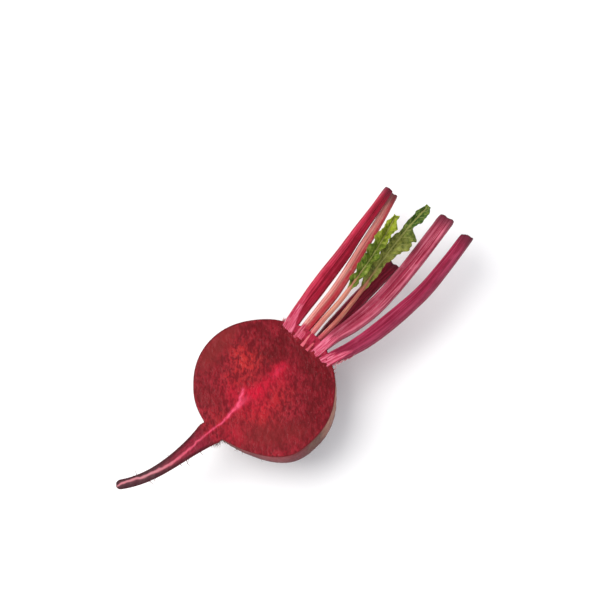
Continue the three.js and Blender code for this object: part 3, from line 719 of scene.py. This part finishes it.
def stalk_piece(name, spec, seed):
    """A crescent stalk with fine ribs, trimmed flush at its foot by the knife, with a cut end."""
    rows, sides = 190, 72
    path = Path(spec["path"])
    t = np.linspace(0.0, 1.0, rows)[:, None]
    forward, side, up = path.axes(t)
    centre = path.at(t)
    angle = np.linspace(0, 2 * math.pi, sides, endpoint=False)
    from_channel = np.abs(np.arctan2(np.sin(angle), np.cos(angle)))
    hollow = bump_at(from_channel, 0.0, 0.5)
    shoulders = bump_at(from_channel, 0.95, 0.3)
    outer = smooth(from_channel - 1.2)
    outline = 1 - 0.34 * hollow + 0.07 * shoulders + 0.035 * np.cos(6 * angle) * outer
    rib_turn = 11 * angle + 0.7 * seed
    ribs = 0.026 * (np.cos(rib_turn) - 0.6) + 0.009 * np.cos(23 * angle + seed)
    turn = math.radians(spec["channel"]) + 0.10 * np.sin(2.2 * t + seed)[..., None]
    facing = up * np.cos(turn) + side * np.sin(turn)
    beside = side * np.cos(turn) - up * np.sin(turn)
    half_width, half_depth = half_size(spec["width"], t), half_size(spec["depth"], t)

    # Slow bends of the outline and shallow dents, so that no stalk is a perfect sweep
    sample = stacked(t * path.length / 9, 0.8 * np.cos(angle), 0.8 * np.sin(angle))
    share = outline + ribs + 0.035 * lumps(sample, 1.0, seed)
    share = share * (1 - 0.06 * smooth((t - 0.985) / 0.015))
    points = (centre + facing * (half_depth * share * np.cos(angle))[..., None]
              + beside * (half_width * share * np.sin(angle))[..., None])

    # A slanting, slightly ragged cut at the tip
    slant = (0.22 * np.sin(angle + seed) + 0.12 * np.sin(3 * angle + 2 * seed)) * half_width[-1]
    pull = smooth((t - 0.9) / 0.1) * np.minimum(0.0, slant - 0.5)
    points = points + forward * pull[..., None]

    # The knife's plane, which each foot leaves the flesh at in its own ragged line
    grain = lumps(points * (0.3, 1.6, 1.0), 0.8, seed + 5)
    x, z = points[..., 0], points[..., 2]
    reach = x - FOOT_LINE_X - 1.6 * lumps(points, 2.0, seed + 6)
    slice_height = CUT_HEIGHT + SLICE_PROUD - 0.6 * smooth(1 - reach / 2.5) + 0.08 * grain
    over = z - slice_height
    near_crown = x < FOOT_END_X
    points[..., 2] = np.where((over > 0) & near_crown, slice_height, z)
    sliced = smooth((over + 0.15) / 0.3) * near_crown * (1 - 0.9 * smooth((x - 38) / 12))
    heel = smooth(1 - reach / 3.0)

    # Fibres run along the stalk, and straight over what the knife cut
    level = np.sum((points - centre) * side, axis=-1)
    across = np.where(sliced > 0.5, level, MEAN_RADIUS * angle)
    fibre = stacked(t * path.length, across, seed * 3.0)
    ridge = np.clip(shoulders + 0.8 * np.clip(np.cos(rib_turn), 0, 1), 0, 1)
    # groove marks the channel and the troughs between the ribs, where the finish paints shade.
    groove = np.clip(hollow + 0.5 * np.clip(-np.cos(rib_turn), 0, 1), 0, 1)
    # The flank turned from the light gets painted shade; flank_side says which side that is.
    flank_edge = mix(spec.get("flank_from", FLANK_FROM), FLANK_FROM, t)
    shaded_flank = smooth((spec["flank_side"] * np.sin(angle) - flank_edge) / 0.6)

    # The cut end: a rolled edge, then the pith, sunk a little
    layers = [points.reshape(-1, 3)]
    end_ring = points[-1]
    end_centre = end_ring.mean(axis=0)
    sunk = [(0.93, 0.10), (0.8, -0.12), (0.55, -0.42), (0.25, -0.55)]
    for shrink, depth in sunk:
        layers.append(end_centre + (end_ring - end_centre) * shrink + forward[-1] * depth)
    layers += [end_centre - forward[-1] * 0.6, points[0].mean(axis=0)]
    tip_index = (rows + len(sunk)) * sides
    faces = tube_faces(rows + len(sunk), sides)
    faces += fan_faces(tip_index - sides, sides, tip_index) + fan_faces(0, sides, tip_index + 1, flip=True)

    def extended(value, end_value, base_value):
        """An attribute's value at every point of the stalk, of the cut end and at the base."""
        rest = np.full(len(sunk) * sides + 1, end_value)
        return np.concatenate([np.broadcast_to(value, (rows, sides)).ravel(), rest, [base_value]])

    values = {
        "along": (t, 1.0, 0.0), "foot": (smooth((0.14 - t) / 0.14), 0.0, 1.0),
        "sliced": (sliced, 0.0, 0.0), "heel": (heel, 0.0, 1.0), "ridge": (ridge, 0.0, 0.0),
        "groove": (groove, 0.0, 0.0), "shaded_flank": (shaded_flank, 0.0, 0.0),
        "end": (smooth((t - 0.992) / 0.008), 1.0, 0.0),
    }
    attributes = {key: extended(*value) for key, value in values.items()}
    end_fibre = np.tile(fibre[-1], (len(sunk), 1))
    attributes["fibre"] = np.vstack([fibre.reshape(-1, 3), end_fibre, fibre[-1, :1], fibre[0, :1]])
    finish = stalk_finish(name + "_finish", spec)
    piece = mesh_piece(name + "_fine", np.vstack(layers), faces, [finish], attributes)
    return wear(piece, "stalk", name)


# Young leaves

LEAVES = {
    "young_leaf_far": dict(
        path=[(28.5, 2.5, 33.1), (36, 3.6, 32.6), (46, 4.6, 32.7), (60, 5.2, 34.0), (72, 6.8, 35.4),
              (88, 9.4, 36.8), (102, 12.6, 38.0), (112.6, 15.6, 39.1)],
        radius=(1.45, 0.7), blade_from=0.44, waves=5.5, wave=0.9, fold=(58, 50),
        left=[0.8, 3.4, 4.6, 5.2, 5.4, 5.0, 3.6, 1.6], right=[0.8, 3.4, 4.4, 4.6, 4.6, 5.0, 5.0, 2.8],
        foot=srgb(200, 84, 104), middle=srgb(192, 122, 104), blade=srgb(88, 108, 30), tip=srgb(140, 152, 36)),
    "young_leaf_near": dict(
        path=[(28.5, -0.8, 33.1), (38, -0.9, 32.4), (50, -0.8, 32.2), (62, 0.2, 32.8), (74, 1.8, 33.2),
              (88, 4.4, 33.4), (103, 6.4, 34.2), (116, 7.3, 35.6), (129, 7.4, 37.4)],
        radius=(1.35, 0.6), blade_from=0.42, waves=6.5, wave=1.1, fold=(42, 18),
        left=[0.7, 2.4, 3.3, 3.4, 3.3, 3.4, 3.8, 3.6, 2.4, 2.2, 3.2, 2.4, 1.2],
        right=[0.7, 1.6, 2.4, 2.7, 2.8, 3.4, 6.0, 8.4, 7.0, 2.2, 3.4, 3.8, 1.4],
        foot=srgb(188, 66, 88), middle=srgb(162, 92, 78), blade=srgb(124, 126, 58), tip=srgb(44, 78, 24)),
}


def between(values, t):
    """A value between the entries of a list, eased, at t from 0 to 1."""
    values = np.asarray(values, float)
    place = np.clip(t, 0, 1) * (len(values) - 1)
    step = np.minimum(len(values) - 2, np.floor(place)).astype(int)
    return mix(values[step], values[step + 1], smooth(place - step))


def leaf_piece(name, spec, seed):
    """A young leaf: a round stalk that runs on as midrib, and a folded, waved and veined blade."""
    path = Path(spec["path"])
    rows, sides = 150, 20
    count = rows * sides
    t = np.linspace(0, 0.985, rows)[:, None]
    side, up = path.axes(t)[1:]
    angle = np.linspace(0, 2 * math.pi, sides, endpoint=False)
    radius = mix(*spec["radius"], t) * (1 + 0.08 * np.cos(4 * angle))
    stalk = (path.at(t) + side * (radius * np.sin(angle))[..., None]
             + up * (radius * np.cos(angle))[..., None])
    above = (stalk[..., 2] > CUT_HEIGHT + SLICE_PROUD) & (stalk[..., 0] < LEAF_FOOT_END_X)
    stalk[above, 2] = CUT_HEIGHT + SLICE_PROUD
    points = [stalk.reshape(-1, 3), path.at(0.0), path.at(0.99)]
    faces = tube_faces(rows, sides)
    faces += fan_faces(0, sides, count, flip=True) + fan_faces(count - sides, sides, count + 1)
    along = [np.repeat(t, sides), [0.0, 1.0]]
    green = [np.repeat(smooth((t - spec["blade_from"]) / 0.2), sides), [0.0, 1.0]]
    vein = [np.ones(count + 2)]
    fibre = [stacked(t * path.length, angle * 1.2, seed).reshape(-1, 3), np.zeros((2, 3))]

    # The blade as a thin closed sheet, its two faces split alike
    steps, columns = 170, 40
    s, v = np.meshgrid(np.linspace(0, 1, steps + 1), np.linspace(-1, 1, columns + 1), indexing="ij")
    at = mix(spec["blade_from"], 1.0, s)

    def sheet(s, v):
        """The middle of the blade at s along and v across, and how near each point is to a vein."""
        at = np.clip(mix(spec["blade_from"], 1.0, s), 0, 1)
        side, up = path.axes(at)[1:]
        left = v > 0
        half = np.where(left, between(spec["left"], s), between(spec["right"], s))
        turns = 2 * math.pi * s
        lobes = (0.5 * np.sin(3.3 * turns + seed) + 0.4 * np.sin(7.7 * turns + 2.0 * left + seed)
                 + 0.3 * np.sin(16.9 * turns + 0.9 * left))
        out = np.abs(v) * half * (1.10 + 0.17 * np.abs(v) ** 2 * lobes)
        fold = np.radians(np.where(left, spec["fold"][0], spec["fold"][1])) * smooth(out / FOLD_ROUND)
        phase = spec["waves"] * turns + np.where(left, 0.0, 1.3) + 0.7 * np.sin(2.3 * turns + seed)
        fade = smooth(s * 6) * smooth((1 - s) * 8 + 0.2)
        ripple = spec["wave"] * v * v * np.sin(phase) * fade
        branch = s * 13 - 0.9 * np.abs(v) + 0.35 * left
        groove = 0.5 - np.abs(branch - np.floor(branch) - 0.5)
        quilt = 0.34 * np.sin(math.pi * 2 * groove) * np.minimum(1, np.abs(v) * 4) * (1 - v * v) * fade
        lift = ripple + quilt
        return (path.at(at) + side * (np.sign(v) * (out * np.cos(fold) - lift * np.sin(fold)))[..., None]
                + up * (out * np.sin(fold) + lift * np.cos(fold))[..., None]), groove

    middle, groove = sheet(s, v)
    step = 1e-3
    down_leaf = sheet(np.minimum(1, s + step), v)[0] - sheet(np.maximum(0, s - step), v)[0]
    over_leaf = sheet(s, np.minimum(1, v + 0.05))[0] - sheet(s, np.maximum(-1, v - 0.05))[0]
    normal = np.cross(down_leaf, over_leaf)
    normal /= np.linalg.norm(normal, axis=-1, keepdims=True)
    crinkle = 0.45 * (lumps(middle, 2.4, seed + 9) - 0.3)
    crinkle += 0.22 * lumps(middle, 1.1, seed + 10)
    crinkle *= np.minimum(1, np.abs(v) * 3)
    middle = middle + normal * crinkle[..., None]
    thin = BLADE_THICKNESS * (1 - 0.45 * np.abs(v) ** 4) / 2
    first = count + 2
    vein_line = smooth(1 - groove / 0.13) * (1 - np.abs(v) ** 3) + smooth(1 - np.abs(v) / 0.10)
    blade_fibre = stacked(at * path.length, v * 4, seed + 2.0).reshape(-1, 3)
    for face in (1, -1):
        points.append((middle + normal * (face * thin)[..., None]).reshape(-1, 3))
        along.append(at.ravel())
        green.append(smooth((s.ravel() + 0.02) / 0.10))
        vein.append(np.clip(vein_line, 0, 1).ravel())
        fibre.append(blade_fibre)
    other = (steps + 1) * (columns + 1)

    def index(i, j):
        return first + i * (columns + 1) + j

    for i in range(steps):
        for j in range(columns):
            a, b, c, d = index(i, j), index(i + 1, j), index(i + 1, j + 1), index(i, j + 1)
            faces += [(a, b, c), (a, c, d)]
            faces += [(a + other, c + other, b + other), (a + other, d + other, c + other)]
    rim = [index(i, 0) for i in range(steps)] + [index(steps, j) for j in range(columns)]
    rim += [index(i, columns) for i in range(steps, 0, -1)] + [index(0, j) for j in range(columns, 0, -1)]
    for a, b in zip(rim, rim[1:] + rim[:1]):
        faces.append((b, a, a + other, b + other))

    attributes = {"along": np.concatenate(along), "green": np.concatenate(green),
                  "vein": np.concatenate(vein), "fibre": np.vstack(fibre)}
    finish = leaf_finish(name + "_finish", spec)
    piece = mesh_piece(name + "_fine", np.vstack(points), faces, [finish], attributes)
    return wear(piece, "young_leaf", name)


# Fine roots and torn fibres

def hair(start, direction, length, radius, wander, rng):
    """Rings of a thin tapering fibre that wanders from its direction."""
    place = np.array(start, float)
    heading = np.array(direction, float)
    heading /= np.linalg.norm(heading)
    rings = []
    for i in range(HAIR_STEPS + 1):
        cross = np.cross(heading, (0.31, 0.17, 0.93))
        cross /= np.linalg.norm(cross)
        other = np.cross(heading, cross)
        size = radius * (1 - 0.85 * i / HAIR_STEPS)
        for j in range(HAIR_SIDES):
            angle = 2 * math.pi * j / HAIR_SIDES
            rings.append(place + size * (cross * math.cos(angle) + other * math.sin(angle)))
        place = place + heading * length / HAIR_STEPS
        heading = heading + np.array([rng.gauss(0, wander) for _ in range(3)])
        heading /= np.linalg.norm(heading)
    return np.array(rings)


def rootlet_finish():
    s = Shader("rootlet_finish", Roughness=0.7, Specular_IOR_Level=0.2)
    light = srgb(128, 84, 74)
    blotch = s.noise(s.position(), 1.4, 3.0)
    s.colour = s.blend(s.ramp(blotch, 0.35, 0.65), srgb(70, 30, 34), light)
    s.over(s.ramp(s.read("along"), 0.3, 1.0, 0.0, 0.5), light)
    return s.finish(Normal=s.bumps(blotch, 0.3, 0.2))


def skin_point(x, turn, share=0.96):
    """A point just under the skin of bulb or root, turned from the far rim (0) to the near rim (pi)."""
    x = np.array(float(x))
    width = rounded_or(root_share(x), BULB_HALF_WIDTH * bulb_share(x, 0.0))
    depth = rounded_or(ROOT_DEPTH * root_share(x), BULB_DEPTH * bulb_share(x, BELLY_X))
    return np.array([float(x), float(middle_y(x) + share * width * math.cos(turn)),
                     float(middle_z(x) - share * depth * math.sin(turn))])


def rootlets_piece():
    """Fine side roots along the tap root and a brown fuzz where it leaves the bulb."""
    rng = random.Random(4)
    hairs = []
    for _ in range(46):
        turn = rng.uniform(math.pi - 0.75, math.pi - 0.05)
        start = skin_point(rng.uniform(-39.0, -29.5), turn, 0.98)
        direction = (-0.8 + rng.gauss(0, 0.5), -0.8 + rng.gauss(0, 0.3), rng.uniform(-0.7, 0.15))
        hairs.append(hair(start, direction, rng.uniform(0.8, 3.0), rng.uniform(0.07, 0.14), 0.2, rng))
    for _ in range(34):
        x = ROOT_TIP_X + 6 + (NECK_X + 8 - ROOT_TIP_X) * rng.random() ** 1.3
        turn = rng.uniform(0.05, math.pi - 0.05)
        direction = (-0.5 + rng.gauss(0, 0.4), math.cos(turn), -math.sin(turn) * 0.8)
        length = rng.uniform(1.5, 6.0)
        hairs.append(hair(skin_point(x, turn), direction, length, rng.uniform(0.10, 0.22), 0.16, rng))
    faces = []
    for number, rings in enumerate(hairs):
        faces += closed_tube_faces(HAIR_STEPS + 1, HAIR_SIDES, number * len(rings))
    along = np.tile(np.repeat(np.linspace(0, 1, HAIR_STEPS + 1), HAIR_SIDES), len(hairs))
    piece = mesh_piece("rootlets", np.vstack(hairs), faces, [rootlet_finish()], {"along": along})
    return wear(piece, "beet")


# Where the knife tore the crown: starting points of the frayed strips, x, y, z. The strips along the near
# outer stalk's foot also stand for a painted highlight line there.
TORN_EDGES = [(30.2, -14.6, 33.4), (31.6, -15.6, 33.1), (33.0, -16.2, 32.8), (34.6, -16.8, 32.6),
              (36.4, -17.3, 32.2), (38.4, -17.9, 31.9), (40.6, -18.6, 31.4), (29.2, -17.2, 33.0),
              (28.6, -19.0, 32.6), (29.4, 18.0, 33.2), (31.0, 18.4, 32.6)]


def fringe_finish():
    s = Shader("torn_skin_and_highlight", Roughness=0.6, Specular_IOR_Level=0.15)
    streak = s.noise(s.stretch(s.read("fibre", "Vector"), (0.5, 3.0, 1.0)), 1.2, 3.0)
    # The pale colour is partly torn skin and partly a painted highlight.
    s.colour = s.blend(s.ramp(streak, 0.35, 0.62), srgb(150, 62, 80), srgb(206, 148, 152))
    s.over(s.ramp(s.read("along"), 0.6, 1.0, 0.0, 0.6), srgb(214, 176, 166))
    return s.finish(Normal=s.bumps(streak, 0.4, 0.15))


def fringe_piece():
    """Pale frayed strips of skin at the crown's torn edge, thin and closed, each with its own curl; along the
    near outer stalk's foot they also stand for a painted highlight line.
    """
    rng = random.Random(8)
    points, faces, along, fibre = [], [], [], []
    section = ((1, 0.05), (0, 0.2), (-1, 0.05), (-1, -0.05), (0, 0.06), (1, -0.05))
    for number, start in enumerate(TORN_EDGES):
        outward = 1.0 if start[1] > 0 else -1.0
        heading = np.array([0.9, 0.25 * outward, 0.1])
        heading += [rng.gauss(0, spread) for spread in (0.25, 0.15, 0.15)]
        length = rng.uniform(2.2, 4.6)
        width = rng.uniform(0.28, 0.55)
        place = np.array(start)
        faces += closed_tube_faces(FRINGE_STEPS + 1, len(section), len(points))
        for i in range(FRINGE_STEPS + 1):
            heading /= np.linalg.norm(heading)
            across = np.cross(heading, (0.0, 0.0, 1.0))
            across /= np.linalg.norm(across)
            lift = np.cross(across, heading)
            share = i / FRINGE_STEPS
            size = width * (1 - 0.75 * share ** 1.5) * (1 + 0.25 * math.sin(5 * share + number))
            for over, up in section:
                points.append(place + across * over * size + lift * up)
                along.append(share)
                fibre.append((share * length, over * size, float(number)))
            place = place + heading * length / FRINGE_STEPS
            heading = heading + lift * rng.gauss(0.03, 0.05) + across * rng.gauss(0.02 * outward, 0.06)
    attributes = {"along": np.array(along), "fibre": np.array(fibre)}
    piece = mesh_piece("crown_fringe", points, faces, [fringe_finish()], attributes)
    return wear(piece, "stalk")


# Stage, light and camera

CAMERA_AZIMUTH = -46.0    # degrees; 0 looks along +Y
CAMERA_ELEVATION = 70.0
CAMERA_DISTANCE = 708.0   # millimetres from the middle of the cut face
LENS = 85.0
SENSOR = 36.0
FRAME_PIXELS = 600
BULB_PIXEL = (265.5, 388.5)  # where the photograph shows the middle of the cut face
FLOOR_HALF = 3.0             # metres
FLOOR_COLOUR = (0.93, 0.93, 0.94, 1.0)
WORLD_COLOUR = (0.96, 0.97, 1.0, 1.0)
WORLD_STRENGTH = 0.68
LIGHTS_FACE = (0.02, 0.0, 0.03)

# Square area lights: place in metres, size, power and colour
LIGHTS = {
    "key": ((-0.26, 0.37, 0.78), 0.7, 7.6, (1.0, 0.98, 0.95)),
    "fill": ((-0.5, -0.5, 0.5), 0.8, 1.5, (1.0, 1.0, 1.0)),
}


def stage_floor():
    mesh = bpy.data.meshes.new("floor")
    corners = [(x * FLOOR_HALF, y * FLOOR_HALF, 0) for x, y in ((-1, -1), (1, -1), (1, 1), (-1, 1))]
    mesh.from_pydata(corners, [], [(0, 1, 2, 3)])
    finish = Shader("floor_finish", Roughness=0.7, Specular_IOR_Level=0.05, Base_Color=FLOOR_COLOUR)
    mesh.materials.append(finish.material)
    floor = add_object("floor", mesh)


def area_light(name, place, size, power, colour):
    data = bpy.data.lights.new(name, "AREA")
    data.size = size
    data.energy = power
    data.color = colour
    light = add_object(name, data)
    light.location = place
    light.rotation_euler = (Vector(LIGHTS_FACE) - Vector(place)).to_track_quat("-Z", "Y").to_euler()


def stage_light():
    world = bpy.data.worlds.new("studio")
    world.use_nodes = True
    background = world.node_tree.nodes["Background"]
    background.inputs["Color"].default_value = WORLD_COLOUR
    background.inputs["Strength"].default_value = WORLD_STRENGTH
    bpy.context.scene.world = world
    for name, light in LIGHTS.items():
        area_light(name, *light)


def stage_camera():
    turn, rise = math.radians(CAMERA_AZIMUTH), math.radians(CAMERA_ELEVATION)
    back = Vector((math.sin(turn) * math.cos(rise), -math.cos(turn) * math.cos(rise), math.sin(rise)))
    right = Vector((math.cos(turn), math.sin(turn), 0.0))
    up = back.cross(right)
    scale = CAMERA_DISTANCE * SENSOR / LENS / FRAME_PIXELS
    half = FRAME_PIXELS / 2
    place = Vector((0, 0, CUT_HEIGHT)) + back * CAMERA_DISTANCE
    place -= right * (BULB_PIXEL[0] - half) * scale + up * (half - BULB_PIXEL[1]) * scale
    data = bpy.data.cameras.new("camera")
    data.lens = LENS
    data.sensor_width = SENSOR
    camera = add_object("camera", data)
    turned = Matrix((right, up, back)).transposed().to_4x4()
    camera.matrix_world = Matrix.Translation(place * MM) @ turned
    bpy.context.scene.camera = camera


stage_camera()
stage_light()
stage_floor()
bpy.context.scene.view_settings.view_transform = "Standard"

body_piece()
for number, (stalk_name, stalk_spec) in enumerate(STALKS.items()):
    stalk_piece(stalk_name, stalk_spec, number + 1.0)
for number, (leaf_name, leaf_spec) in enumerate(LEAVES.items()):
    leaf_piece(leaf_name, leaf_spec, number + 11.0)
rootlets_piece()
fringe_piece()
